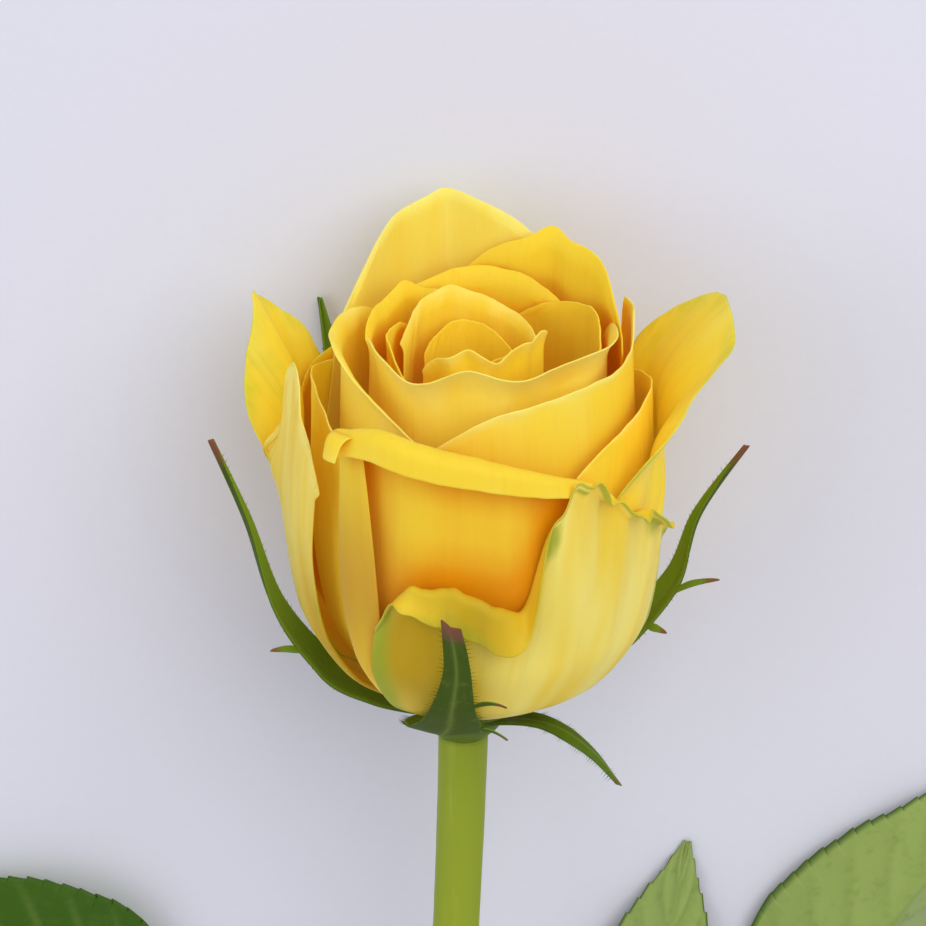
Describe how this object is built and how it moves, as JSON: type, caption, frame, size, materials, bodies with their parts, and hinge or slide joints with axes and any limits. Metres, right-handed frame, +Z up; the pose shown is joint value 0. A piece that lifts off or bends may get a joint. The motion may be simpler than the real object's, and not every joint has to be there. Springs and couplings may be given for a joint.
{
  "type": "cut rose",
  "caption": "Yellow cut rose lying on its side: an open bloom of wrapped, rolled petals with green sepals on a straight thorned stem with toothed leaves.",
  "frame": {"origin": "bottom centre of the bounding box of the whole rose, on the surface it lies on", "axes": "+Y along the stem towards the bloom, +Z up from the surface, +X to the right when looking along the stem from its cut end with the front of the bloom up"},
  "size_m": [0.157, 0.3534, 0.0545],
  "materials": {
    "petal": "soft satin petal, warm yellow turning orange deep inside, living plant tissue",
    "petal_guard": "soft satin petal, paler yellow with green edges and streaks, living plant tissue",
    "hip": "smooth green plant tissue",
    "sepal": "matt green plant tissue with fine hairs at the edges",
    "stem": "smooth green stem with thorns, slightly glossy",
    "stalk": "smooth green leaf stalk",
    "leaf": "veined leaf, dark and slightly glossy above, pale and matt below"
  },
  "bodies": {
    "root": {"petal_core_1": "petal", "petal_core_2": "petal", "petal_core_3": "petal", "petal_core_4": "petal", "petal_inner_1": "petal", "petal_inner_2": "petal", "petal_inner_3": "petal", "petal_inner_4": "petal", "petal_inner_5": "petal", "petal_middle_1": "petal", "petal_middle_3": "petal", "petal_middle_2": "petal", "petal_middle_4": "petal", "petal_middle_5": "petal", "petal_outer_1": "petal", "petal_outer_7": "petal", "petal_outer_2": "petal", "petal_outer_3": "petal", "petal_outer_4": "petal", "petal_outer_6": "petal", "petal_outer_5": "petal", "petal_guard_1": "petal_guard", "petal_guard_2": "petal_guard", "petal_guard_3": "petal_guard", "hip": "hip", "sepal_front": "sepal", "sepal_left": "sepal", "sepal_right": "sepal", "sepal_low": "sepal", "sepal_back": "sepal", "stem": "stem", "leaf_left_stalk": "stalk", "leaf_left_leaflet_1": "leaf", "leaf_left_leaflet_2": "leaf", "leaf_left_leaflet_3": "leaf", "leaf_right_stalk": "stalk", "leaf_right_leaflet_1": "leaf", "leaf_right_leaflet_2": "leaf", "leaf_right_leaflet_3": "leaf", "leaf_right_leaflet_4": "leaf", "leaf_right_leaflet_5": "leaf", "leaf_lower_stalk": "stalk", "leaf_lower_leaflet_1": "leaf", "leaf_lower_leaflet_2": "leaf", "leaf_lower_leaflet_3": "leaf", "leaf_lower_leaflet_4": "leaf", "leaf_lower_leaflet_5": "leaf"}
  },
  "joints": []
}
